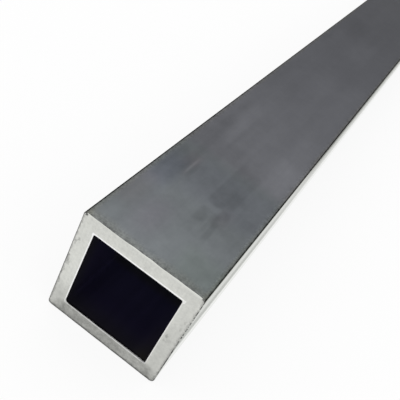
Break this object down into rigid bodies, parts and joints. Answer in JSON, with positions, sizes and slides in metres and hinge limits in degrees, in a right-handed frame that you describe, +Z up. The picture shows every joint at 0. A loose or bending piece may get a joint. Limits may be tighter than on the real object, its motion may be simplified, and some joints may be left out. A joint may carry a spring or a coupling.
{
  "type": "square metal tube",
  "caption": "Straight length of heavy-wall square aluminium tube, mill finish, with square sawn ends and an open square bore: framing stock that takes inserts, brackets and welds.",
  "frame": {"origin": "middle of the underside, on the floor the tube lies on", "axes": "+Y along the tube from the near sawn end to the far one, +X across the section, +Z up out of the top face"},
  "size_m": [0.0254, 0.3048, 0.0254],
  "materials": {
    "mill_aluminium": "dull mill finish with faint lengthwise die lines; bright sawn ends; dark bore"
  },
  "bodies": {
    "root": {"square_tube": "mill_aluminium"}
  },
  "joints": []
}
